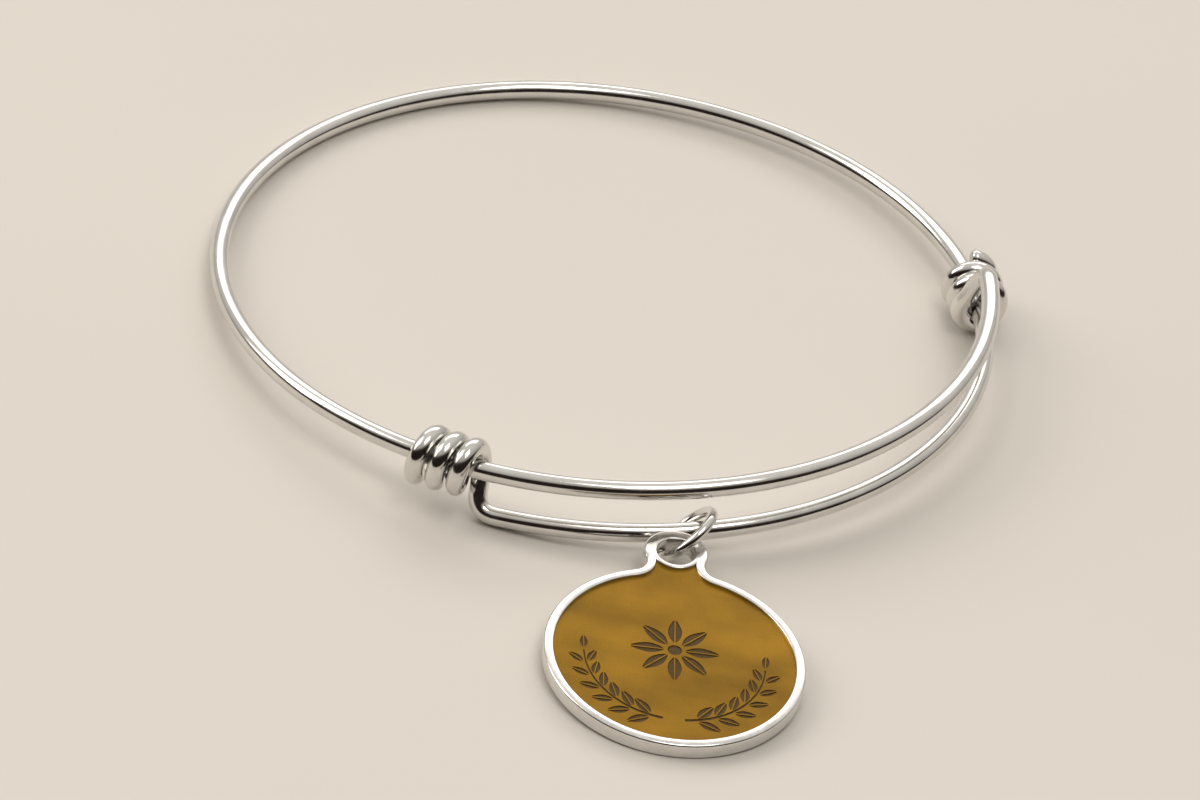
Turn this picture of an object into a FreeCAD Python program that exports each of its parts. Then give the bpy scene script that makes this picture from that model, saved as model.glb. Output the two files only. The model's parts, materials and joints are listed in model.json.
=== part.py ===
import FreeCAD, Part
import math
import os
from FreeCAD import Placement, Rotation, Vector

# Expandable charm bangle, lying on its side on a level surface, in millimetres, +Z up.
# One round wire goes once round the wrist and on past its own start, so that two strands run
# side by side. Each end of it is coiled about the other strand, and a round charm hangs by a
# jump ring from the lower strand. The origin is the middle of the bangle's footprint, on the
# surface. Azimuths are in degrees, from the front (-Y) towards +X, and the wire's azimuth keeps
# counting past 360, so the upper strand at the front is at about 360.

# Hoop
wire_diameter = 1.5
hoop_radius = 30.7             # from the hoop's axis to the middle of the wire
strand_spacing = 3.9           # the wire's rise in one turn, middle to middle
lower_strand_start = -13.3     # azimuth where the lower strand turns up to its coil
upper_strand_end = 458.5       # azimuth where the upper strand turns down to its coil
hoop_steps = 22                # pairs of arcs in half the hoop

# Coils, one at each end of the wire, each about the other strand
coil_start = -30.0             # degrees round the strand, from its inner side
coil_end = 985.0
coil_steps_per_turn = 10
coil_radius = 1.65             # from the middle of the strand to the middle of the coiled wire
coil_growth = 0.12             # how much looser the last turn is
coil_pitch = 1.66
coil_offset = 1.2              # along the strand, from its end to the coil's start

# Bend that joins a strand's end to its coil
bend_lead = 0.9                # the strand bends this far before its end
bend_reach = 2.2               # how far the bend runs on along the strand
bend_rise = 1.8                # how early it lines up with the coil
bend_steps = 6
small_turn = 0.5               # degrees, over which the coil's direction is taken

# How the hoop lies: on the right coil, on the left bend and on the back of the hoop
lean_angle = 3.494
lean_high_side = 55.92         # azimuth of the side that is raised

# Jump ring, about the lower strand
ring_diameter = 6.0            # outside
ring_wire_diameter = 0.8
ring_azimuth = 14.0            # where it hangs on the strand
ring_shift = Vector(0.982, -0.954, 0.681)   # its centre, from the middle of the strand there
ring_side_lean = 49.5          # its right side is up, over the strand
ring_front_lean = 10.1
ring_joint = 2.0               # degrees of the fine gap where its ends meet
ring_joint_place = 150.0       # where the joint is, round the ring

# Charm, stamped from one plate with a raised rim
charm_diameter = 20.0
charm_thickness = 1.3
eye_distance = 12.0            # from the middle of the disc to the middle of the eye
eye_diameter = 5.0
eye_hole_diameter = 3.0
neck_fillet = 1.3              # hollow corner between the eye and the disc
rim_width = 0.75
rim_height = 0.25              # above the field
eye_rim_width = 0.4            # rim round the hole where it borders the field
edge_rounding = 0.2
charm_gap = 4.01               # from the middle of the strand to the middle of the eye
charm_side_gap = 0.07
charm_swing = 3.6              # degrees, its lower end towards +X
charm_tilt = 4.32              # its eye is raised, because the jump ring passes under it

wire_radius = wire_diameter / 2
middle_azimuth = (lower_strand_start + upper_strand_end) / 2
charm_radius = charm_diameter / 2
field_level = charm_thickness / 2 - rim_height


def hoop_point(azimuth, inward=0.0, up=0.0):
    """A point on the wire's helix, or beside it, in the hoop's own frame."""
    angle = math.radians(azimuth)
    radius = hoop_radius - inward
    rise = strand_spacing * (azimuth - middle_azimuth) / 360
    return Vector(radius * math.sin(angle), -radius * math.cos(angle), rise + up)


def beside_lower_strand(along, inward, down):
    """A point near the right end, measured from the lower strand where the upper one ends."""
    azimuth = upper_strand_end - 360 + math.degrees(along / hoop_radius)
    return hoop_point(azimuth, inward, -down)


def coil_local(turn):
    """The coil's middle line about its strand, at an angle round that strand."""
    angle = math.radians(turn)
    radius = coil_radius + coil_growth * max(0.0, turn) / coil_end
    along = coil_offset + coil_pitch * turn / 360
    return Vector(along, radius * math.cos(angle), radius * math.sin(angle))


def bend_local(step):
    """The bend's middle line, a cubic from the strand (0) to the start of the coil (1)."""
    start = Vector(-bend_lead, 0, -strand_spacing)
    end = coil_local(coil_start)
    end_direction = (coil_local(coil_start + small_turn) - end).normalize()
    start_handle = start + Vector(bend_reach, 0, 0)
    end_handle = end - end_direction * bend_rise
    rest = 1 - step
    return (start * rest ** 3 + start_handle * (3 * rest ** 2 * step)
            + end_handle * (3 * rest * step ** 2) + end * step ** 3)


def half_line():
    """Half of the wire as functions of 0 to 1, each with its number of steps."""
    hoop_stop = upper_strand_end - math.degrees(bend_lead / hoop_radius)

    def hoop(step):
        return hoop_point(middle_azimuth + (hoop_stop - middle_azimuth) * step)

    def bend(step):
        return beside_lower_strand(*bend_local(step))

    def coil(step):
        return beside_lower_strand(*coil_local(coil_start + (coil_end - coil_start) * step))

    coil_steps = round((coil_end - coil_start) / 360 * coil_steps_per_turn)
    return [(hoop, hoop_steps), (bend, bend_steps), (coil, coil_steps)]


def points_and_directions(line, steps):
    """Evenly spaced points on a line, each with the line's direction there."""
    small = 1e-4
    nodes = []
    for index in range(steps + 1):
        step = index / steps
        direction = line(min(1.0, step + small)) - line(max(0.0, step - small))
        nodes.append((line(step), direction.normalize()))
    return nodes


def half_turn(point):
    """The wire is the same when it is turned half round about the line through its middle."""
    angle = math.radians(middle_azimuth)
    axis = Vector(math.sin(angle), -math.cos(angle), 0)
    return axis * (2 * axis.dot(point)) - point


def wire_nodes():
    """Points and directions along the whole wire, from one cut end to the other."""
    half = []
    for line, steps in half_line():
        nodes = points_and_directions(line, steps)
        half += nodes[1:] if half else nodes
    other_half = [(half_turn(point), half_turn(direction) * -1) for point, direction in half[1:]]
    return other_half[::-1] + half


def arc_edge(start, corner, end):
    """The arc that leaves start and reaches end along the two sides of a corner."""
    weight = (end - start).Length / 2 / (corner - start).Length
    middle = (start + end + corner * (2 * weight)) * (1 / (2 + 2 * weight))
    return Part.Arc(start, middle, end).toShape()


def two_arcs(first, second):
    """Two arcs with a common tangent, from one point and direction to the next."""
    (start, leaving), (end, arriving) = first, second
    chord = end - start
    spread = 2 * (1 - leaving.dot(arriving))
    along = chord.dot(leaving + arriving)
    reach = (math.sqrt(along ** 2 + spread * chord.dot(chord)) - along) / spread
    first_corner = start + leaving * reach
    second_corner = end - arriving * reach
    joint = (first_corner + second_corner) * 0.5
    return [arc_edge(start, first_corner, joint), arc_edge(joint, second_corner, end)]


def make_bangle_wire():
    """The whole wire as one solid, in the hoop's own frame."""
    nodes = wire_nodes()
    edges = []
    for first, second in zip(nodes, nodes[1:]):
        edges += two_arcs(first, second)
    path = Part.Wire(edges)
    start, direction = nodes[0]
    section = Part.Wire(Part.makeCircle(wire_radius, start, direction))
    return path.makePipeShell([section], True, False)


def lay_down():
    """The turn that lays the hoop on its three lowest places."""
    angle = math.radians(lean_high_side)
    high_side = Vector(math.sin(angle), -math.cos(angle), 0)
    return Rotation(high_side.cross(Vector(0, 0, 1)), lean_angle)


def make_jump_ring(strand_point):
    """A ring of round wire whose two ends meet."""
    ring_radius = (ring_diameter - ring_wire_diameter) / 2
    ring = Part.makeTorus(ring_radius, ring_wire_diameter / 2, Vector(), Vector(0, 0, 1), -180, 180,
                          360 - ring_joint)
    ring.rotate(Vector(), Vector(0, 0, 1), ring_joint_place)
    side_lean = math.radians(ring_side_lean)
    front_lean = math.radians(ring_front_lean)
    normal = Vector(-math.sin(side_lean), math.sin(front_lean), math.cos(side_lean))
    turn = Rotation(Vector(0, 0, 1), normal)
    ring.Placement = Placement(strand_point + ring_shift, turn) * ring.Placement
    return ring


def charm_outline(inset):
    """The charm's outline as a face: disc, eye and the hollow corners between, drawn in by inset."""
    disc = charm_radius - inset
    eye = eye_diameter / 2 - inset
    fillet = neck_fillet + inset
    height = (eye_distance ** 2 + (disc + fillet) ** 2 - (eye + fillet) ** 2) / (2 * eye_distance)
    side = math.sqrt((disc + fillet) ** 2 - height ** 2)
    corner = Vector(side, height, 0)
    eye_middle = Vector(0, eye_distance, 0)
    on_disc = corner * (disc / (disc + fillet))
    on_eye = eye_middle + (corner - eye_middle) * (eye / (eye + fillet))
    waist = Vector(side - fillet, height, 0)

    def left(point):
        return Vector(-point.x, point.y, 0)

    edges = [Part.Arc(on_disc, Vector(0, -disc, 0), left(on_disc)),
             Part.Arc(left(on_disc), left(waist), left(on_eye)),
             Part.Arc(left(on_eye), eye_middle + Vector(0, eye, 0), on_eye),
             Part.Arc(on_eye, waist, on_disc)]
    return Part.Face(Part.Wire([edge.toShape() for edge in edges]))


def make_charm():
    """The charm on its back, its eye's middle at the origin and its disc towards -Y."""
    outline = charm_outline(0)
    outline.translate(Vector(0, 0, -charm_thickness / 2))
    plate = outline.extrude(Vector(0, 0, charm_thickness))
    outer_edges = [edge for edge in plate.Edges if edge.BoundBox.ZLength < edge_rounding]
    plate = plate.makeFillet(edge_rounding, outer_edges)
    eye_middle = Vector(0, eye_distance, 0)
    field = charm_outline(rim_width)
    field.translate(Vector(0, 0, field_level))
    recess = field.extrude(Vector(0, 0, rim_height * 2))
    boss = Part.makeCylinder(eye_hole_diameter / 2 + eye_rim_width, charm_thickness,
                             eye_middle - Vector(0, 0, charm_thickness / 2))
    hole = Part.makeCylinder(eye_hole_diameter / 2, charm_thickness * 2,
                             eye_middle - Vector(0, 0, charm_thickness))
    plate = plate.cut(recess.cut(boss)).cut(hole)
    plate.translate(eye_middle * -1)
    return plate


def place_charm(charm, strand_point):
    """Lays the charm in front of the strand, its far edge on the surface."""
    tilt = math.radians(charm_tilt)
    along = eye_distance + charm_radius - edge_rounding
    below = charm_thickness / 2 - edge_rounding
    height = along * math.sin(tilt) + below * math.cos(tilt) + edge_rounding
    swing = math.radians(charm_swing)
    forward = Vector(math.sin(swing), -math.cos(swing), 0)
    sideways = Vector(math.cos(swing), math.sin(swing), 0)
    eye = strand_point + forward * charm_gap + sideways * charm_side_gap
    eye.z = height
    turn = Rotation(Vector(0, 0, 1), charm_swing) * Rotation(Vector(1, 0, 0), charm_tilt)
    charm.Placement = Placement(eye, turn) * charm.Placement
    return charm


def make_bangle():
    """Every piece at rest, by name."""
    lay = lay_down()
    wire = make_bangle_wire()
    wire.Placement = Placement(Vector(), lay) * wire.Placement
    lift = Vector(0, 0, -wire.optimalBoundingBox().ZMin)
    wire.translate(lift)
    strand_point = lay.multVec(hoop_point(ring_azimuth)) + lift
    pieces = {"bangle_wire": wire,
              "jump_ring": make_jump_ring(strand_point),
              "charm": place_charm(make_charm(), strand_point)}
    footprint = Part.makeCompound(list(pieces.values())).optimalBoundingBox()
    for piece in pieces.values():
        piece.translate(Vector(-footprint.Center.x, -footprint.Center.y, 0))
    return pieces


os.makedirs("parts", exist_ok=True)
for name, piece in make_bangle().items():
    piece.Solids[0].exportStep("parts/" + name + ".step")
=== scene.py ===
import json
import math

import bmesh
import bpy
from bpy.props import FloatProperty, FloatVectorProperty, IntProperty, PointerProperty
from mathutils import Matrix, Quaternion, Vector
from mathutils.geometry import delaunay_2d_cdt


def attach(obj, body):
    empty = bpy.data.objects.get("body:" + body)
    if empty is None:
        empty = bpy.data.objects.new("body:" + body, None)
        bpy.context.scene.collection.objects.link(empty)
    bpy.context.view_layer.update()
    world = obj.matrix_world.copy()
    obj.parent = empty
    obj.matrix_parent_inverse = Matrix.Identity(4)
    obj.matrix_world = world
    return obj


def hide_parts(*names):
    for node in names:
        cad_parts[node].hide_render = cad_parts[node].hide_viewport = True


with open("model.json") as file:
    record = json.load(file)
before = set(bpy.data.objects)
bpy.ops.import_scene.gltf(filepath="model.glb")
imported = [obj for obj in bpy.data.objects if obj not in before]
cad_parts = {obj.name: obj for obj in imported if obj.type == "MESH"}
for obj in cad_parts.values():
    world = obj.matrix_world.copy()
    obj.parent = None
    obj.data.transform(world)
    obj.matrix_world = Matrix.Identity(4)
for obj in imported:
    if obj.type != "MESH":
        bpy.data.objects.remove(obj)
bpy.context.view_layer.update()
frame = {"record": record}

bl_info = {
    "name": "Charm bangle",
    "version": (1, 0, 0),
    "blender": (4, 5, 0),
    "location": "3D View > Sidebar > Charm bangle",
    "description": "An expandable wire bangle with a round charm on a jump ring, lying on its side",
    "category": "Add Mesh",
}

mm = 0.001

# The hoop's middle and axis, as it lies, are the wrist mount's.
wrist_mount = next(mount for mount in frame["record"]["mounts"] if mount["name"] == "wrist")
hoop_turn = Vector((0, 0, 1)).rotation_difference(Vector(wrist_mount["axis"]))
hoop_frame = Matrix.Translation(wrist_mount["pos_m"]) @ hoop_turn.to_matrix().to_4x4()


def length(name, description, default):
    """A size in metres."""
    return FloatProperty(name=name, description=description, default=default, precision=5,
                         unit="LENGTH")


def angle(name, description, degrees):
    """An angle, given here in degrees."""
    return FloatProperty(name=name, description=description, default=math.radians(degrees),
                         subtype="ANGLE")


def shade(name, description, default):
    """A colour in linear values."""
    return FloatVectorProperty(name=name, description=description, default=default, size=3,
                               min=0, max=1, subtype="COLOR")


def share(name, description, default):
    """A number without a unit."""
    return FloatProperty(name=name, description=description, default=default, precision=3)


def count(name, description, default, least=1):
    """A whole number."""
    return IntProperty(name=name, description=description, default=default, min=least)


class WireSettings(bpy.types.PropertyGroup):
    """Sizes of the wire that makes the hoop and its two coils, in the hoop's own frame."""
    diameter: length("Wire diameter", "Thickness of the bangle's wire", 1.5 * mm)
    hoop_radius: length("Hoop radius", "From the hoop's axis to the middle of the wire", 30.7 * mm)
    strand_spacing: length("Strand spacing", "Rise of the wire in one turn", 3.9 * mm)
    lower_start: angle("Lower strand start", "Azimuth where it turns to its coil", -13.3)
    upper_end: angle("Upper strand end", "Azimuth where it turns to its coil", 458.5)
    coil_start: angle("Coil start", "Angle round the strand where the coil starts", -30)
    coil_end: angle("Coil end", "Angle round the strand where the wire is cut", 985)
    coil_radius: length("Coil radius", "From the strand's middle to the coiled wire's", 1.65 * mm)
    coil_growth: length("Coil growth", "How much looser the last turn is", 0.12 * mm)
    coil_pitch: length("Coil pitch", "Distance between turns", 1.66 * mm)
    coil_offset: length("Coil offset", "From the strand's end to the coil's start", 1.2 * mm)
    bend_lead: length("Bend lead", "How early the strand starts to bend", 0.9 * mm)
    bend_reach: length("Bend reach", "How far the bend runs on along the strand", 2.2 * mm)
    bend_rise: length("Bend rise", "How early the bend lines up with the coil", 1.8 * mm)
    end_rounding: length("End rounding", "Rounding of the cut ends", 0.18 * mm)
    sides: count("Sides", "Faces round the wire", 36, least=6)
    hoop_steps: count("Hoop steps", "Steps along half of the hoop", 240)
    bend_steps: count("Bend steps", "Steps along a bend", 28)
    coil_steps: count("Coil steps", "Steps along a coil", 170)


class JumpRingSettings(bpy.types.PropertyGroup):
    """Sizes and place of the jump ring on the lower strand."""
    diameter: length("Ring diameter", "Outside diameter", 6 * mm)
    wire_diameter: length("Ring wire diameter", "Thickness of its wire", 0.8 * mm)
    azimuth: angle("Azimuth", "Where it hangs on the strand", 14)
    shift_right: length("Shift right", "Its middle, from the strand's middle", 0.982 * mm)
    shift_front: length("Shift front", "Its middle, from the strand's middle", 0.954 * mm)
    shift_up: length("Shift up", "Its middle, from the strand's middle", 0.681 * mm)
    side_lean: angle("Side lean", "How far its right side is up, over the strand", 49.5)
    front_lean: angle("Front lean", "How far it leans towards the charm", 10.1)
    joint: angle("Joint", "Fine gap where its ends meet", 2)
    joint_place: angle("Joint place", "Where the joint is, round the ring", 150)
    end_rounding: length("Ring end rounding", "Rounding of the cut ends", 0.08 * mm)
    sides: count("Ring sides", "Faces round the ring's wire", 28, least=6)
    ring_steps: count("Ring steps", "Steps round the ring", 144)


class CharmSettings(bpy.types.PropertyGroup):
    """Sizes and place of the stamped charm."""
    diameter: length("Disc diameter", "Diameter of the round part", 20 * mm)
    thickness: length("Thickness", "Thickness at the rim", 1.3 * mm)
    eye_distance: length("Eye distance", "From the disc's middle to the eye's", 12 * mm)
    eye_diameter: length("Eye diameter", "Outside of the eye", 5 * mm)
    hole_diameter: length("Hole diameter", "Hole for the jump ring", 3 * mm)
    neck_fillet: length("Neck fillet", "Hollow corner between eye and disc", 1.3 * mm)
    rim_width: length("Rim width", "Width of the raised rim", 0.75 * mm)
    rim_height: length("Rim height", "Height of the rim above the field", 0.25 * mm)
    hole_rim: length("Hole rim", "Rim round the hole where it borders the field", 0.4 * mm)
    edge_rounding: length("Edge rounding", "Rounding of the outer edges", 0.2 * mm)
    inner_rounding: length("Inner rounding", "Rounding towards field and hole", 0.09 * mm)
    strand_gap: length("Strand gap", "From the strand's middle to the eye's", 4.01 * mm)
    side_gap: length("Side gap", "The eye's place beside the strand point", 0.07 * mm)
    swing: angle("Swing", "Its lower end turned towards the right", 3.6)
    tilt: angle("Tilt", "Its eye raised by the jump ring under it", 4.32)
    wall_slope: share("Wall slope", "How far the rim's foot stands in, in inner roundings", 0.3)
    sharp_angle: angle("Sharp angle", "Faces that meet at more than this have a sharp edge", 35)
    arc_steps: count("Arc steps", "Points on a half turn", 96, least=12)


class EngravingSettings(bpy.types.PropertyGroup):
    """Sizes of the flower and the two sprigs engraved in the charm's field."""
    depth: length("Depth", "Depth of the engraving", 0.07 * mm)
    vein_width: length("Vein width", "Metal left along the middle of a leaf", 0.1 * mm)
    petals: count("Petals", "Petals of the flower", 8)
    petal_length: length("Petal length", "Length of a petal", 3.0 * mm)
    petal_width: share("Petal width", "Width of a petal in its lengths", 0.36)
    flower_up: length("Flower up", "The flower's middle above the disc's", 0.9 * mm)
    petal_start: share("Petal start", "Where the petals start, in radii of the berry", 1.25)
    berry_diameter: length("Berry diameter", "Diameter of the flower's middle", 1.1 * mm)
    berry_steps: count("Berry steps", "Points round the berry", 24, least=6)
    sprig_radius: length("Sprig radius", "Radius of the stems about the disc's middle", 6.9 * mm)
    sprig_start: angle("Sprig start", "Where a stem starts, from the bottom", 7)
    sprig_end: angle("Sprig end", "Where a stem ends, from the bottom", 88)
    stem_width: length("Stem width", "Width of a stem at its thick end", 0.26 * mm)
    stem_taper: share("Stem taper", "Part of its width that a stem loses", 0.6)
    stem_steps: count("Stem steps", "Steps along a stem", 24)
    leaf_pairs: count("Leaf pairs", "Pairs of leaves on each stem", 6)
    leaf_length: length("Leaf length", "Length of the first leaves", 2.1 * mm)
    leaf_shrink: share("Leaf shrink", "Part of its length that the last leaf loses", 0.3)
    leaf_width: share("Leaf width", "Width of a leaf in its lengths", 0.4)
    leaf_angle: angle("Leaf angle", "Between a leaf and the stem", 38)
    leaf_foot: share("Leaf foot", "Where a leaf's halves start, in its lengths", 0.04)
    leaf_cut: share("Leaf cut", "How far its halves run, in its lengths", 0.9)
    leaf_fullness: share("Leaf fullness", "Under 1, a leaf is widest nearer to its foot", 0.85)
    leaf_steps: count("Leaf steps", "Steps along a leaf", 12)


class MetalSettings(bpy.types.PropertyGroup):
    """Colours of the metals."""
    steel: shade("Steel", "Polished stainless steel", (0.80, 0.785, 0.76))
    field: shade("Field", "Warm satin field of the charm", (0.275, 0.143, 0.0095))
    # The engraving's grooves are coloured a dark brown.
    engraving: shade("Engraving", "Dark colour in the engraving's grooves", (0.07, 0.04, 0.011))


class StageSettings(bpy.types.PropertyGroup):
    """Floor, lights and camera."""
    floor: shade("Floor", "Pale floor", (0.80, 0.755, 0.69))
    floor_size: length("Floor size", "Side of the floor", 6.0)
    camera_distance: length("Camera distance", "From the hoop's middle", 663.6 * mm)
    camera_elevation: angle("Camera elevation", "Above the hoop's plane", 32.507)
    camera_roll: angle("Camera roll", "Turn about the line of sight", 6.66)
    camera_lens: share("Lens", "Focal length in millimetres", 250)
    camera_sensor: share("Sensor", "Width of the camera's sensor in millimetres", 36)
    camera_near: length("Camera near limit", "Nothing nearer than this is seen", 10 * mm)
    aim_right: length("Aim right", "Aim point, from the footprint's middle", 0.2 * mm)
    aim_back: length("Aim back", "Aim point, from the footprint's middle", -3.6 * mm)
    aim_up: length("Aim up", "Aim point above the floor", 3.0 * mm)
    lights: share("Lights", "Strength of all the lights", 0.55)
    room_light: share("Room light", "Strength of the light from the room itself", 2.0)
    exposure: share("Exposure", "Brightness of the picture, in stops", -1.18)


# Lights: name, place and size in metres, power in watts before the stage's share, and colour.
softboxes = (("Back softbox", (-0.05, 0.78, 0.565), (1.0, 0.40), 7, (1.0, 0.97, 0.93)),
             ("Left softbox", (-0.80, 0.15, 0.60), (0.5, 0.7), 12, (1.0, 0.96, 0.90)),
             ("Top softbox", (0.20, -0.25, 0.95), (0.45, 0.45), 8, (1.0, 0.98, 0.95)))

# The room grows brighter from in front and below towards this direction, above and behind. Each
# stop is a share of the way and the room's colour there.
bright_side = (0, 0.5, 0.85)
room_stops = ((0.05, (0.02, 0.014, 0.012)), (0.19, (0.05, 0.037, 0.03)), (0.35, (0.50, 0.47, 0.43)),
              (0.95, (0.88, 0.85, 0.80)))

# Noise values nearly all lie between these two.
noise_low, noise_high = 0.3, 0.7

# The colour sockets of a mix node, whose sockets for other kinds of value have the same names.
mix_first, mix_second, mix_result = 6, 7, 2

# The charm's metals, in the order of its material slots.
rim_metal, field_metal, engraving_metal = 0, 1, 2

# In metres, how near to each other points of a sheet, and of the whole charm, count as one.
sheet_tolerance, join_distance = 1e-9, 1e-7

# Steps along the neck's hollow corner, at least, and along a rounding's quarter turn.
least_hollow_steps, rounding_steps = 6, 6

# Weighted normals go wholly by the faces' areas.
whole_weight = 100


def hoop_point(wire, azimuth, inward=0.0, up=0.0):
    """A point on the wire's helix, or beside it, in the hoop's own frame."""
    radius = wire.hoop_radius - inward
    middle = (wire.lower_start + wire.upper_end) / 2
    rise = wire.strand_spacing * (azimuth - middle) / (2 * math.pi)
    return Vector((radius * math.sin(azimuth), -radius * math.cos(azimuth), rise + up))


def coil_local(wire, turn):
    """The coil's middle line about its strand: along the strand, inwards and downwards."""
    radius = wire.coil_radius + wire.coil_growth * max(0.0, turn) / wire.coil_end
    along = wire.coil_offset + wire.coil_pitch * turn / (2 * math.pi)
    return Vector((along, radius * math.cos(turn), radius * math.sin(turn)))


def bend_local(wire, step):
    """The bend's middle line, a cubic from the strand (0) to the start of the coil (1)."""
    small_turn = math.radians(0.5)
    start = Vector((-wire.bend_lead, 0, -wire.strand_spacing))
    end = coil_local(wire, wire.coil_start)
    end_direction = (coil_local(wire, wire.coil_start + small_turn) - end).normalized()
    start_handle = start + Vector((wire.bend_reach, 0, 0))
    end_handle = end - end_direction * wire.bend_rise
    rest = 1 - step
    return (start * rest ** 3 + start_handle * (3 * rest ** 2 * step)
            + end_handle * (3 * rest * step ** 2) + end * step ** 3)


def beside_lower_strand(wire, local):
    """A point near the right end, measured from the lower strand where the upper one ends."""
    azimuth = wire.upper_end - 2 * math.pi + local.x / wire.hoop_radius
    return hoop_point(wire, azimuth, local.y, -local.z)


def steps(number, first=0):
    """Evenly spaced numbers from 0 to 1, or from a later one of them."""
    return [index / number for index in range(first, number + 1)]


def wire_middle_line(wire):
    """Points along the whole wire, as it lies, from one cut end to the other."""
    middle = (wire.lower_start + wire.upper_end) / 2
    hoop_stop = wire.upper_end - wire.bend_lead / wire.hoop_radius
    half = [hoop_point(wire, middle + (hoop_stop - middle) * step)
            for step in steps(wire.hoop_steps)]
    half += [beside_lower_strand(wire, bend_local(wire, step))
             for step in steps(wire.bend_steps, 1)]
    turned = wire.coil_end - wire.coil_start
    half += [beside_lower_strand(wire, coil_local(wire, wire.coil_start + turned * step))
             for step in steps(wire.coil_steps, 1)]
    axis = Vector((math.sin(middle), -math.cos(middle), 0))
    other_half = [axis * (2 * axis.dot(point)) - point for point in half[1:]]
    return [hoop_frame @ point for point in other_half[::-1] + half]


def strand_point(wire, azimuth):
    """A point in the middle of the lower strand, as the bangle lies."""
    return hoop_frame @ hoop_point(wire, azimuth)


def jump_ring_middle_line(wire, ring):
    """Points round the ring, from one side of its joint to the other."""
    radius = (ring.diameter - ring.wire_diameter) / 2
    normal = Vector((-math.sin(ring.side_lean), math.sin(ring.front_lean),
                     math.cos(ring.side_lean)))
    turn = Vector((0, 0, 1)).rotation_difference(normal)
    shift = Vector((ring.shift_right, -ring.shift_front, ring.shift_up))
    middle = strand_point(wire, ring.azimuth) + shift
    points = []
    for step in steps(ring.ring_steps):
        place = ring.joint_place + (2 * math.pi - ring.joint) * step
        points.append(middle + turn @ (radius * Vector((math.cos(place), math.sin(place), 0))))
    return points


def add_node(tree, kind, **sockets):
    """A node of a tree, with the named inputs set or linked."""
    node = tree.nodes.new(kind)
    for name, value in sockets.items():
        socket = node.inputs[name.replace("_", " ")]
        if isinstance(value, bpy.types.NodeSocket):
            tree.links.new(value, socket)
        else:
            socket.default_value = value
    return node


def math_node(tree, operation, *values):
    """The result of a sum on numbers or sockets."""
    node = tree.nodes.new("ShaderNodeMath")
    node.operation = operation
    for socket, value in zip(node.inputs, values):
        if isinstance(value, bpy.types.NodeSocket):
            tree.links.new(value, socket)
        else:
            socket.default_value = value
    return node.outputs[0]


def drawn_wire_tree():
    """Geometry nodes that sweep a round wire along a line of points and round its cut ends."""
    tree = bpy.data.node_groups.new("Drawn wire", "GeometryNodeTree")
    for name, kind in (("Line", "Geometry"), ("Wire Diameter", "Float"), ("End Rounding", "Float"),
                       ("Sides", "Int"), ("Metal", "Material")):
        tree.interface.new_socket(name, in_out="INPUT", socket_type="NodeSocket" + kind)
    tree.interface.new_socket("Wire", in_out="OUTPUT", socket_type="NodeSocketGeometry")
    given = tree.nodes.new("NodeGroupInput").outputs
    result = tree.nodes.new("NodeGroupOutput")
    line = add_node(tree, "GeometryNodeMeshToCurve", Mesh=given["Line"]).outputs["Curve"]

    along = tree.nodes.new("GeometryNodeSplineParameter").outputs["Length"]
    whole = tree.nodes.new("GeometryNodeSplineLength").outputs["Length"]
    to_end = math_node(tree, "MINIMUM", along, math_node(tree, "SUBTRACT", whole, along))
    in_roundings = math_node(tree, "DIVIDE", to_end, given["End Rounding"])
    near_end = math_node(tree, "MINIMUM", in_roundings, 1.0)
    lost = math_node(tree, "SUBTRACT", 1.0, near_end)
    left = math_node(tree, "SUBTRACT", 1.0, math_node(tree, "MULTIPLY", lost, lost))
    rounded = math_node(tree, "MULTIPLY", math_node(tree, "SQRT", left), given["End Rounding"])
    wire_radius = math_node(tree, "DIVIDE", given["Wire Diameter"], 2.0)
    drawn_in = math_node(tree, "SUBTRACT", wire_radius, given["End Rounding"])
    radius = math_node(tree, "ADD", drawn_in, rounded)
    thickness = math_node(tree, "DIVIDE", radius, wire_radius)

    keep_along = tree.nodes.new("GeometryNodeCaptureAttribute")
    keep_along.capture_items.new("FLOAT", "Along")
    tree.links.new(line, keep_along.inputs["Geometry"])
    tree.links.new(along, keep_along.inputs["Along"])

    profile = add_node(tree, "GeometryNodeCurvePrimitiveCircle", Resolution=given["Sides"],
                       Radius=wire_radius)
    keep_round = tree.nodes.new("GeometryNodeCaptureAttribute")
    keep_round.capture_items.new("VECTOR", "Round")
    tree.links.new(profile.outputs["Curve"], keep_round.inputs["Geometry"])
    position = tree.nodes.new("GeometryNodeInputPosition").outputs["Position"]
    tree.links.new(position, keep_round.inputs["Round"])

    sweep = add_node(tree, "GeometryNodeCurveToMesh", Curve=keep_along.outputs["Geometry"],
                     Profile_Curve=keep_round.outputs["Geometry"], Scale=thickness, Fill_Caps=True)
    place = add_node(tree, "ShaderNodeSeparateXYZ", Vector=keep_round.outputs["Round"])
    drawn = add_node(tree, "ShaderNodeCombineXYZ", X=place.outputs["X"], Y=place.outputs["Y"],
                     Z=keep_along.outputs["Along"])
    store = tree.nodes.new("GeometryNodeStoreNamedAttribute")
    store.data_type = "FLOAT_VECTOR"
    store.domain = "POINT"
    store.inputs["Name"].default_value = "drawn"
    tree.links.new(sweep.outputs["Mesh"], store.inputs["Geometry"])
    tree.links.new(drawn.outputs["Vector"], store.inputs["Value"])
    smooth = add_node(tree, "GeometryNodeSetShadeSmooth", Geometry=store.outputs["Geometry"])
    real = add_node(tree, "GeometryNodeRealizeInstances", Geometry=smooth.outputs["Geometry"])
    metal = add_node(tree, "GeometryNodeSetMaterial", Geometry=real.outputs["Geometry"],
                     Material=given["Metal"])
    tree.links.new(metal.outputs["Geometry"], result.inputs["Wire"])
    return tree


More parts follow.
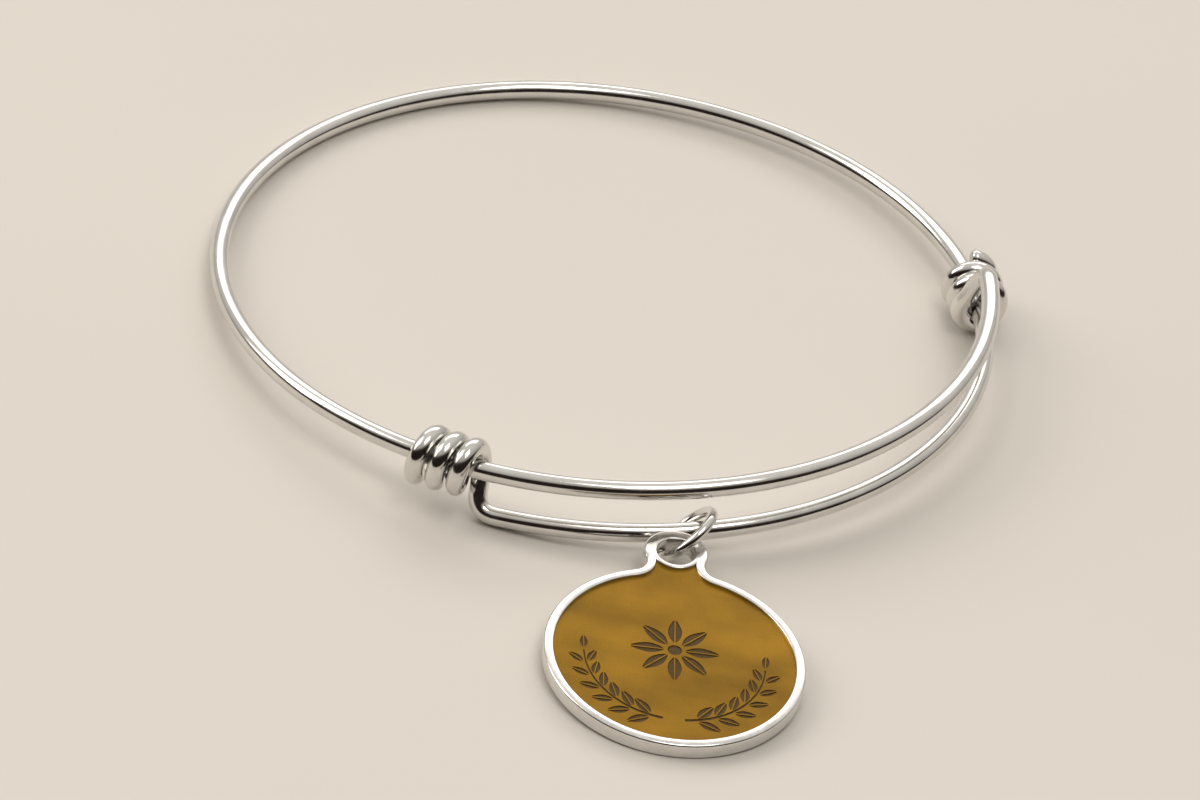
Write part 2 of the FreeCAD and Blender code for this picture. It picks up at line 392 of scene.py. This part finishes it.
def sweep_wire(name, points, diameter, end_rounding, sides, metal):
    """A piece of round wire along a line of points, as a plain mesh."""
    line = bpy.data.meshes.new(name + "_line")
    line.from_pydata(points, [(index, index + 1) for index in range(len(points) - 1)], [])
    carrier = bpy.data.objects.new(name + "_line", line)
    bpy.context.scene.collection.objects.link(carrier)
    tree = bpy.data.node_groups.get("Drawn wire") or drawn_wire_tree()
    modifier = carrier.modifiers.new("Drawn wire", "NODES")
    modifier.node_group = tree
    values = {"Wire Diameter": diameter, "End Rounding": end_rounding, "Sides": sides,
              "Metal": metal}
    for item in tree.interface.items_tree:
        if item.in_out == "INPUT" and item.name in values:
            modifier[item.identifier] = values[item.name]
    evaluated = carrier.evaluated_get(bpy.context.evaluated_depsgraph_get())
    mesh = bpy.data.meshes.new_from_object(evaluated)
    bpy.data.objects.remove(carrier)
    return add_piece(name, mesh)


def add_piece(name, mesh):
    """A finished mesh as an object of the scene, at the origin."""
    mesh.name = name
    piece = bpy.data.objects.new(name, mesh)
    bpy.context.scene.collection.objects.link(piece)
    return piece


def unit(place):
    """The flat direction at an angle."""
    return Vector((math.cos(place), math.sin(place)))


def arc(middle, radius, start, end, number):
    """Points from one angle to another, without the last."""
    angles = [start + (end - start) * index / number for index in range(number)]
    return [middle + unit(place) * radius for place in angles]


def circle(middle, radius, number):
    """Points round a circle, anticlockwise."""
    return arc(middle, radius, 0, 2 * math.pi, number)


class Outline:
    """The charm's outline drawn in by an inset: disc, eye and the hollow corners between them."""

    def __init__(self, charm, inset):
        self.steps = charm.arc_steps
        self.hollow_steps = max(least_hollow_steps, self.steps // 6)
        self.disc = charm.diameter / 2 - inset
        self.eye = charm.eye_diameter / 2 - inset
        self.fillet = charm.neck_fillet + inset
        self.eye_middle = Vector((0, charm.eye_distance))
        to_corner = self.disc + self.fillet
        height = charm.eye_distance ** 2 + to_corner ** 2 - (self.eye + self.fillet) ** 2
        height /= 2 * charm.eye_distance
        self.corner = Vector((math.sqrt(to_corner ** 2 - height ** 2), height))
        self.left_corner = Vector((-self.corner.x, self.corner.y))

    def points(self):
        """The closed outline, anticlockwise, always with the same number of points."""
        down = math.atan2(self.corner.y, self.corner.x)
        up = math.atan2(self.corner.y - self.eye_middle.y, self.corner.x)
        line = arc(Vector((0, 0)), self.disc, -math.pi - down, down, 2 * self.steps)
        line += arc(self.corner, self.fillet, math.pi + down, math.pi + up, self.hollow_steps)
        line += arc(self.eye_middle, self.eye, up, math.pi - up, self.steps)
        line += arc(self.left_corner, self.fillet, -up, -down, self.hollow_steps)
        return line


def field_outline(charm, inset):
    """The recessed field: disc, hollow corners, and the rim round the hole across the neck."""
    outline = Outline(charm, charm.rim_width + inset)
    hole_rim = charm.hole_diameter / 2 + charm.hole_rim + inset
    reach = (outline.corner - outline.eye_middle).length
    toward = (outline.corner - outline.eye_middle).normalized()
    along = (reach ** 2 + hole_rim ** 2 - outline.fillet ** 2) / (2 * reach)
    aside = math.sqrt(max(0.0, hole_rim ** 2 - along ** 2))
    across = Vector((toward.y, -toward.x))
    meeting = outline.eye_middle + toward * along + across * aside
    down = math.atan2(outline.corner.y, outline.corner.x)
    from_corner = meeting - outline.corner
    turned = math.atan2(from_corner.y, from_corner.x) % (2 * math.pi)
    from_eye = meeting - outline.eye_middle
    right_end = math.atan2(from_eye.y, from_eye.x)
    hollow_steps = outline.hollow_steps
    line = arc(Vector((0, 0)), outline.disc, -math.pi - down, down, 2 * outline.steps)
    line += arc(outline.corner, outline.fillet, math.pi + down, turned, hollow_steps)
    line += arc(outline.eye_middle, hole_rim, right_end, -math.pi - right_end, outline.steps // 3)
    line += arc(outline.left_corner, outline.fillet, math.pi - turned, -down, hollow_steps)
    return line


def hole_outline(charm, inset):
    """The hole's edge, widened by an inset."""
    return circle(Vector((0, charm.eye_distance)), charm.hole_diameter / 2 + inset, charm.arc_steps)


class ReliefMesh:
    """A mesh built from closed loops of points at given heights."""

    def __init__(self):
        self.mesh = bmesh.new()

    def loop(self, points, height):
        """New corners along a flat closed line."""
        return [self.mesh.verts.new((point.x, point.y, height)) for point in points]

    def face(self, corners, material):
        """One smooth face."""
        made = self.mesh.faces.new(corners)
        made.material_index = material
        made.smooth = True

    def strip(self, first, second, material=rim_metal):
        """Faces between two loops with as many points. Gives back the second loop."""
        for index in range(len(first)):
            after = (index + 1) % len(first)
            self.face((first[index], first[after], second[after], second[index]), material)
        return second

    def sheet(self, outer, holes, up=True, material=rim_metal):
        """A flat sheet inside one loop and outside the others."""
        corners = list(outer)
        rings = [list(range(len(outer)))]
        for hole in holes:
            rings.append(list(range(len(corners), len(corners) + len(hole))))
            corners += hole
        flat = [corner.co.xy for corner in corners]
        result = delaunay_2d_cdt(flat, [], rings, 0, sheet_tolerance)
        faces, first_corners, sources = result[2], result[3], result[5]
        for face, source in zip(faces, sources):
            if set(source) != {0}:
                continue
            chosen = [corners[first_corners[index][0]] for index in face]
            self.face(chosen if up else chosen[::-1], material)


def quarter(radius):
    """A quarter round as pairs: how far it has come in, and how far it is below its top."""
    angles = [math.pi / 2 * step for step in steps(rounding_steps)]
    return [(radius * (1 - math.cos(place)), radius * (1 - math.sin(place))) for place in angles]


def leaf_halves(engraving, foot, direction, reach, width):
    """The two halves of a pointed leaf, either side of its vein, as closed lines."""
    vein, start, cut = engraving.vein_width, engraving.leaf_foot, engraving.leaf_cut
    along = unit(direction)
    across = Vector((-along.y, along.x))
    halves = []
    for side in (1, -1):
        inner = [foot + along * (reach * step) + across * (side * vein / 2)
                 for step in (start, cut)]
        outer = []
        for step in steps(engraving.leaf_steps):
            bulge = math.sin(math.pi * step ** engraving.leaf_fullness) * (width - vein) / 2
            outer.append(foot + along * (reach * (start + cut * step))
                         + across * (side * (vein / 2 + bulge)))
        line = inner + outer[-2:0:-1]
        halves.append(line if side > 0 else line[::-1])
    return halves


def sprig(engraving, side):
    """The grooves of one sprig, a bent stem with pairs of leaves, right (1) or left (-1)."""
    radius = engraving.sprig_radius
    grown = engraving.sprig_end - engraving.sprig_start

    def on_stem(step, outwards=0.0):
        """A point of the stem, from its foot (0) to its tip (1), and the way in which it grows."""
        place = -math.pi / 2 + side * (engraving.sprig_start + grown * step)
        return unit(place) * (radius + outwards), place + side * math.pi / 2

    half_width = engraving.stem_width / 2
    taper = engraving.stem_taper
    stem_steps = steps(engraving.stem_steps)
    outer = [on_stem(step, half_width * (1 - taper * step))[0] for step in stem_steps]
    inner = [on_stem(step, -half_width * (1 - taper * step))[0] for step in stem_steps]
    grooves = [outer + inner[::-1] if side > 0 else inner + outer[::-1]]
    for pair in range(engraving.leaf_pairs + 1):
        step = (pair + 0.5) / (engraving.leaf_pairs + 0.5)
        reach = engraving.leaf_length * (1 - engraving.leaf_shrink * pair / engraving.leaf_pairs)
        at_tip = pair == engraving.leaf_pairs
        for turn in (0,) if at_tip else (1, -1):
            point, growing = on_stem(step)
            direction = growing + turn * engraving.leaf_angle
            foot = point + unit(direction) * engraving.stem_width
            grooves += leaf_halves(engraving, foot, direction, reach, reach * engraving.leaf_width)
    return grooves


def flower(engraving):
    """The grooves of the flower: its round middle and the petals round it."""
    middle = Vector((0, engraving.flower_up))
    berry = engraving.berry_diameter / 2
    grooves = [circle(middle, berry, engraving.berry_steps)]
    for index in range(engraving.petals):
        direction = math.pi / 2 + 2 * math.pi * index / engraving.petals
        foot = middle + unit(direction) * berry * engraving.petal_start
        reach = engraving.petal_length
        grooves += leaf_halves(engraving, foot, direction, reach, reach * engraving.petal_width)
    return grooves


def charm_mesh(charm, engraving):
    """The charm on its back as one closed mesh, its eye's middle at the origin."""
    relief = ReliefMesh()
    top = charm.thickness / 2
    field = top - charm.rim_height
    edge = quarter(charm.edge_rounding)
    outer = relief.loop(Outline(charm, charm.edge_rounding).points(), -top)
    back = outer
    for inset, below in edge[::-1][1:]:
        outer = relief.strip(outer, relief.loop(Outline(charm, inset).points(), -top + below))
    for inset, below in edge:
        outer = relief.strip(outer, relief.loop(Outline(charm, inset).points(), top - below))
    inner_edge = quarter(charm.inner_rounding)
    hole = relief.loop(hole_outline(charm, charm.inner_rounding), -top)
    hole_back = hole
    for inset, below in inner_edge[::-1][1:]:
        hole = relief.strip(hole, relief.loop(hole_outline(charm, inset), -top + below))
    for inset, below in inner_edge:
        hole = relief.strip(hole, relief.loop(hole_outline(charm, inset), top - below))
    inner = relief.loop(field_outline(charm, -charm.inner_rounding), top)
    rim_inside = inner
    for inset, below in inner_edge[::-1][1:]:
        inner = relief.strip(inner, relief.loop(field_outline(charm, -inset), top - below))
    rim_foot = field_outline(charm, charm.wall_slope * charm.inner_rounding)
    inner = relief.strip(inner, relief.loop(rim_foot, field))
    relief.sheet(back, [hole_back], up=False)
    relief.sheet(outer, [hole, rim_inside])
    lips = []
    for groove in flower(engraving) + sprig(engraving, 1) + sprig(engraving, -1):
        lip = relief.loop(groove, field)
        floor = relief.loop(groove, field - engraving.depth)
        relief.strip(lip, floor, material=engraving_metal)
        relief.face(floor, engraving_metal)
        lips.append(lip)
    relief.sheet(inner, lips, material=field_metal)
    mesh = bpy.data.meshes.new("charm_relief")
    bmesh.ops.remove_doubles(relief.mesh, verts=relief.mesh.verts, dist=join_distance)
    bmesh.ops.recalc_face_normals(relief.mesh, faces=relief.mesh.faces)
    relief.mesh.to_mesh(mesh)
    relief.mesh.free()
    mesh.transform(Matrix.Translation((0, -charm.eye_distance, 0)))
    return mesh


def charm_place(wire, ring, charm):
    """Where the charm lies: in front of the strand, its far edge on the surface."""
    along = charm.eye_distance + charm.diameter / 2 - charm.edge_rounding
    below = charm.thickness / 2 - charm.edge_rounding
    height = along * math.sin(charm.tilt) + below * math.cos(charm.tilt) + charm.edge_rounding
    forward = Vector((math.sin(charm.swing), -math.cos(charm.swing), 0))
    sideways = Vector((math.cos(charm.swing), math.sin(charm.swing), 0))
    eye = strand_point(wire, ring.azimuth) + forward * charm.strand_gap + sideways * charm.side_gap
    eye.z = height
    turn = Matrix.Rotation(charm.swing, 4, "Z") @ Matrix.Rotation(charm.tilt, 4, "X")
    return Matrix.Translation(eye) @ turn


def new_material(name):
    """A material with only its shader and output, and its tree."""
    material = bpy.data.materials.new(name)
    material.use_nodes = True
    tree = material.node_tree
    tree.nodes.clear()
    shader = tree.nodes.new("ShaderNodeBsdfPrincipled")
    output = tree.nodes.new("ShaderNodeOutputMaterial")
    tree.links.new(shader.outputs["BSDF"], output.inputs["Surface"])
    return material, tree, shader


def noise(tree, place, scale, stretch=(1, 1, 1), detail=3, roughness=0.5):
    """Noise on a place, about so many grains to the metre, stretched along its axes."""
    mapped = add_node(tree, "ShaderNodeMapping", Vector=place, Scale=stretch)
    texture = add_node(tree, "ShaderNodeTexNoise", Vector=mapped.outputs["Vector"], Scale=scale,
                       Detail=detail, Roughness=roughness)
    return texture.outputs["Fac"]


def spread(tree, value, low, high):
    """A noise value spread from low to high."""
    ranged = add_node(tree, "ShaderNodeMapRange", Value=value, From_Min=noise_low,
                      From_Max=noise_high, To_Min=low, To_Max=high)
    return ranged.outputs["Result"]


def blend_colours(tree, factor, first, second):
    """A colour between two, by a factor."""
    mix = tree.nodes.new("ShaderNodeMix")
    mix.data_type = "RGBA"
    tree.links.new(factor, mix.inputs["Factor"])
    mix.inputs[mix_first].default_value = (*first, 1)
    mix.inputs[mix_second].default_value = (*second, 1)
    return mix.outputs[mix_result]


def scaled(colour, by):
    """A darker or lighter colour."""
    return tuple(min(1, part * by) for part in colour)


def set_colour(tree, shader, mottle, first, second):
    """Gives a shader a base colour mottled between two by a noise value."""
    colour = blend_colours(tree, spread(tree, mottle, 0, 1), first, second)
    tree.links.new(colour, shader.inputs["Base Color"])


def set_roughness(tree, shader, wear, wear_range, lines, lines_range):
    """Gives a shader a roughness from a worn surface and its fine lines."""
    rough = math_node(tree, "ADD", spread(tree, wear, *wear_range),
                      spread(tree, lines, *lines_range))
    tree.links.new(rough, shader.inputs["Roughness"])


def add_bump(tree, shader, heights):
    """Bumps on a shader, each a height value with its depth in metres."""
    normal = None
    for height, depth in heights:
        bump = add_node(tree, "ShaderNodeBump", Strength=1.0, Distance=depth, Height=height)
        if normal:
            tree.links.new(normal, bump.inputs["Normal"])
        normal = bump.outputs["Normal"]
    tree.links.new(normal, shader.inputs["Normal"])


def drawn_steel(name, colour):
    """Polished wire: a mirror finish, faint drawing lines along it and a little handling wear."""
    material, tree, shader = new_material(name)
    drawn = add_node(tree, "ShaderNodeAttribute")
    drawn.attribute_name = "drawn"
    place = drawn.outputs["Vector"]
    around = tree.nodes.new("ShaderNodeTexCoord").outputs["Object"]
    lines = noise(tree, place, scale=9000, stretch=(1, 1, 0.02), detail=2)
    wear = noise(tree, around, scale=420, detail=4, roughness=0.6)
    waves = noise(tree, place, scale=900, stretch=(1, 1, 0.35), detail=1)
    shader.inputs["Metallic"].default_value = 1
    set_colour(tree, shader, wear, scaled(colour, by=0.86), colour)
    set_roughness(tree, shader, wear, (0.09, 0.17), lines, (-0.02, 0.03))
    add_bump(tree, shader, [(waves, 0.012 * mm), (lines, 0.0008 * mm)])
    return material


def stamped_steel(name, colour):
    """Polished stamped plate: soft waves from the press and fine scratches one way."""
    material, tree, shader = new_material(name)
    place = tree.nodes.new("ShaderNodeTexCoord").outputs["Object"]
    waves = noise(tree, place, scale=380, detail=2)
    scratches = noise(tree, place, scale=7000, stretch=(1, 0.06, 1))
    wear = noise(tree, place, scale=900, detail=4, roughness=0.6)
    shader.inputs["Metallic"].default_value = 1
    set_colour(tree, shader, wear, scaled(colour, by=0.88), colour)
    set_roughness(tree, shader, wear, (0.10, 0.18), scratches, (-0.02, 0.04))
    add_bump(tree, shader, [(waves, 0.01 * mm), (scratches, 0.0008 * mm)])
    return material


def satin_field(name, colour):
    """The charm's recessed field: a warm satin tone, cloudy, with a fine grain. It is only partly
    metal, so that it is darker but not black where it mirrors the room's dark side."""
    material, tree, shader = new_material(name)
    place = tree.nodes.new("ShaderNodeTexCoord").outputs["Object"]
    clouds = noise(tree, place, scale=210, roughness=0.55)
    bands = noise(tree, place, scale=330, stretch=(0.25, 1, 1), detail=2)
    grain = noise(tree, place, scale=9000, detail=2)
    scratches = noise(tree, place, scale=5200, stretch=(1, 0.05, 1), roughness=0.65)
    shader.inputs["Metallic"].default_value = 0.45
    shader.inputs["Specular IOR Level"].default_value = 0.1
    mixed = math_node(tree, "MULTIPLY", math_node(tree, "ADD", clouds, bands), 0.5)
    set_colour(tree, shader, mixed, scaled(colour, by=0.66), scaled(colour, by=1.34))
    set_roughness(tree, shader, grain, (0.25, 0.36), scratches, (-0.03, 0.05))
    add_bump(tree, shader, [(bands, 0.014 * mm), (scratches, 0.0012 * mm), (grain, 0.002 * mm)])
    return material


def dark_groove_colour(name, colour):
    """Dark colour in the engraving's grooves, uneven and dull."""
    material, tree, shader = new_material(name)
    place = tree.nodes.new("ShaderNodeTexCoord").outputs["Object"]
    speckle = noise(tree, place, scale=6000)
    set_colour(tree, shader, speckle, colour, scaled(colour, by=2))
    tree.links.new(spread(tree, speckle, 0.5, 0.75), shader.inputs["Roughness"])
    shader.inputs["Specular IOR Level"].default_value = 0.2
    add_bump(tree, shader, [(speckle, 0.012 * mm)])
    return material


def floor_paint(name, colour):
    """A plain pale floor, very slightly uneven."""
    material, tree, shader = new_material(name)
    place = tree.nodes.new("ShaderNodeTexCoord").outputs["Object"]
    clouds = noise(tree, place, scale=9, detail=4)
    set_colour(tree, shader, clouds, scaled(colour, by=0.965), colour)
    shader.inputs["Roughness"].default_value = 0.55
    shader.inputs["Specular IOR Level"].default_value = 0.3
    return material


def apply_even_normals(piece, sharp_angle):
    """Gives the large flat faces their own normals, so that only the roundings bend the light."""
    piece.data.set_sharp_from_angle(angle=sharp_angle)
    modifier = piece.modifiers.new("Even normals", "WEIGHTED_NORMAL")
    modifier.mode = "FACE_AREA"
    modifier.weight = whole_weight
    modifier.keep_sharp = True
    evaluated = piece.evaluated_get(bpy.context.evaluated_depsgraph_get())
    mesh = bpy.data.meshes.new_from_object(evaluated)
    piece.modifiers.remove(modifier)
    piece.data = mesh


def settings():
    """The scene's settings for the bangle and its stage."""
    return bpy.context.scene.charm_bangle


class CHARM_BANGLE_OT_wire(bpy.types.Operator):
    """Make the bangle's wire, with its hoop and both coils"""
    bl_idname = "charm_bangle.wire"
    bl_label = "Bangle wire"

    def execute(self, context):
        wire = settings().wire
        metal = drawn_steel("polished_wire", settings().metal.steel)
        piece = sweep_wire("bangle_wire_polished", wire_middle_line(wire), wire.diameter,
                           wire.end_rounding, wire.sides, metal)
        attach(piece, "root")
        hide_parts("bangle_wire")
        return {"FINISHED"}


class CHARM_BANGLE_OT_jump_ring(bpy.types.Operator):
    """Make the jump ring that holds the charm on the lower strand"""
    bl_idname = "charm_bangle.jump_ring"
    bl_label = "Jump ring"

    def execute(self, context):
        wire, ring = settings().wire, settings().ring
        metal = drawn_steel("jump_ring_wire", settings().metal.steel)
        piece = sweep_wire("jump_ring_polished", jump_ring_middle_line(wire, ring),
                           ring.wire_diameter, ring.end_rounding, ring.sides, metal)
        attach(piece, "root")
        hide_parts("jump_ring")
        return {"FINISHED"}


class CHARM_BANGLE_OT_charm(bpy.types.Operator):
    """Make the stamped charm with its raised rim and engraved field"""
    bl_idname = "charm_bangle.charm"
    bl_label = "Charm"

    def execute(self, context):
        charm, metal = settings().charm, settings().metal
        mesh = charm_mesh(charm, settings().engraving)
        mesh.transform(charm_place(settings().wire, settings().ring, charm))
        mesh.materials.append(stamped_steel("charm_rim_steel", metal.steel))
        mesh.materials.append(satin_field("charm_field_tone", metal.field))
        mesh.materials.append(dark_groove_colour("charm_engraving_dark", metal.engraving))
        piece = add_piece("charm_stamped", mesh)
        apply_even_normals(piece, charm.sharp_angle)
        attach(piece, "root")
        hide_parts("charm")
        return {"FINISHED"}


def add_area_light(name, place, size, strength, colour):
    """A soft rectangular light that looks at the bangle."""
    data = bpy.data.lights.new(name, "AREA")
    data.shape = "RECTANGLE"
    data.size, data.size_y = size
    data.energy = strength * settings().stage.lights
    data.color = colour
    light = bpy.data.objects.new(name, data)
    bpy.context.scene.collection.objects.link(light)
    light.location = place
    light.rotation_euler = (-Vector(place)).to_track_quat("-Z", "Y").to_euler()


def set_world(stage):
    """A soft white room, bright above and behind, with a dark side in front low down."""
    world = bpy.data.worlds.new("Soft room")
    bpy.context.scene.world = world
    world.use_nodes = True
    tree = world.node_tree
    tree.nodes.clear()
    towards_light = tree.nodes.new("ShaderNodeVectorMath")
    towards_light.operation = "DOT_PRODUCT"
    direction = tree.nodes.new("ShaderNodeTexCoord").outputs["Generated"]
    tree.links.new(direction, towards_light.inputs[0])
    towards_light.inputs[1].default_value = bright_side
    ramp = tree.nodes.new("ShaderNodeValToRGB")
    tree.links.new(towards_light.outputs["Value"], ramp.inputs["Fac"])
    elements = ramp.color_ramp.elements
    for place, _colour in room_stops[len(elements):]:
        elements.new(place)
    for element, (place, colour) in zip(elements, room_stops):
        element.position = place
        element.color = (*colour, 1)
    sky = add_node(tree, "ShaderNodeBackground", Color=ramp.outputs["Color"],
                   Strength=stage.room_light)
    output = tree.nodes.new("ShaderNodeOutputWorld")
    tree.links.new(sky.outputs["Background"], output.inputs["Surface"])


def place_camera(stage):
    """The photo's viewing angle on the hoop, from the photo's distance, with a longer lens."""
    data = bpy.data.cameras.new("Camera")
    data.sensor_width = stage.camera_sensor
    data.lens = stage.camera_lens
    data.clip_start = stage.camera_near
    camera = bpy.data.objects.new("Camera", data)
    bpy.context.scene.collection.objects.link(camera)
    toward = Vector((0, -math.cos(stage.camera_elevation), math.sin(stage.camera_elevation)))
    place = toward * stage.camera_distance
    aim = hoop_frame.inverted() @ Vector((stage.aim_right, stage.aim_back, stage.aim_up))
    turn = (aim - place).to_track_quat("-Z", "Y") @ Quaternion((0, 0, 1), stage.camera_roll)
    camera.matrix_world = hoop_frame @ Matrix.Translation(place) @ turn.to_matrix().to_4x4()
    bpy.context.scene.camera = camera


class CHARM_BANGLE_OT_stage(bpy.types.Operator):
    """Set the pale floor, the soft studio light and the camera"""
    bl_idname = "charm_bangle.stage"
    bl_label = "Stage"

    def execute(self, context):
        stage = settings().stage
        half = stage.floor_size / 2
        mesh = bpy.data.meshes.new("floor")
        mesh.from_pydata([(-half, -half, 0), (half, -half, 0), (half, half, 0), (-half, half, 0)],
                         [], [(0, 1, 2, 3)])
        mesh.materials.append(floor_paint("pale_floor", stage.floor))
        floor = add_piece("floor", mesh)
        set_world(stage)
        for softbox in softboxes:
            add_area_light(*softbox)
        place_camera(stage)
        context.scene.view_settings.view_transform = "Standard"
        context.scene.view_settings.exposure = stage.exposure
        return {"FINISHED"}


class CharmBangleSettings(bpy.types.PropertyGroup):
    """Everything that can be changed on the bangle and its stage."""
    wire: PointerProperty(name="Wire", description="The bangle's wire", type=WireSettings)
    ring: PointerProperty(name="Jump ring", description="The jump ring", type=JumpRingSettings)
    charm: PointerProperty(name="Charm", description="The stamped charm", type=CharmSettings)
    engraving: PointerProperty(name="Engraving", description="The flower and the two sprigs",
                               type=EngravingSettings)
    metal: PointerProperty(name="Metal", description="The metals", type=MetalSettings)
    stage: PointerProperty(name="Stage", description="Floor, lights and camera", type=StageSettings)


making_order = (CHARM_BANGLE_OT_stage, CHARM_BANGLE_OT_wire, CHARM_BANGLE_OT_jump_ring,
                CHARM_BANGLE_OT_charm)


class CHARM_BANGLE_PT_panel(bpy.types.Panel):
    """Lists the steps that make the charm bangle"""
    bl_idname = "CHARM_BANGLE_PT_panel"
    bl_label = "Charm bangle"
    bl_space_type = "VIEW_3D"
    bl_region_type = "UI"
    bl_category = "Charm bangle"

    def draw(self, context):
        for operator in making_order:
            self.layout.operator(operator.bl_idname)


setting_groups = (WireSettings, JumpRingSettings, CharmSettings, EngravingSettings, MetalSettings,
                  StageSettings, CharmBangleSettings)
classes = (*setting_groups, *making_order, CHARM_BANGLE_PT_panel)


def register():
    for each in classes:
        bpy.utils.register_class(each)
    bpy.types.Scene.charm_bangle = PointerProperty(type=CharmBangleSettings)


def unregister():
    del bpy.types.Scene.charm_bangle
    for each in reversed(classes):
        bpy.utils.unregister_class(each)


def main():
    register()
    bpy.ops.charm_bangle.stage()
    bpy.ops.charm_bangle.wire()
    bpy.ops.charm_bangle.jump_ring()
    bpy.ops.charm_bangle.charm()


if __name__ == "__main__":
    main()
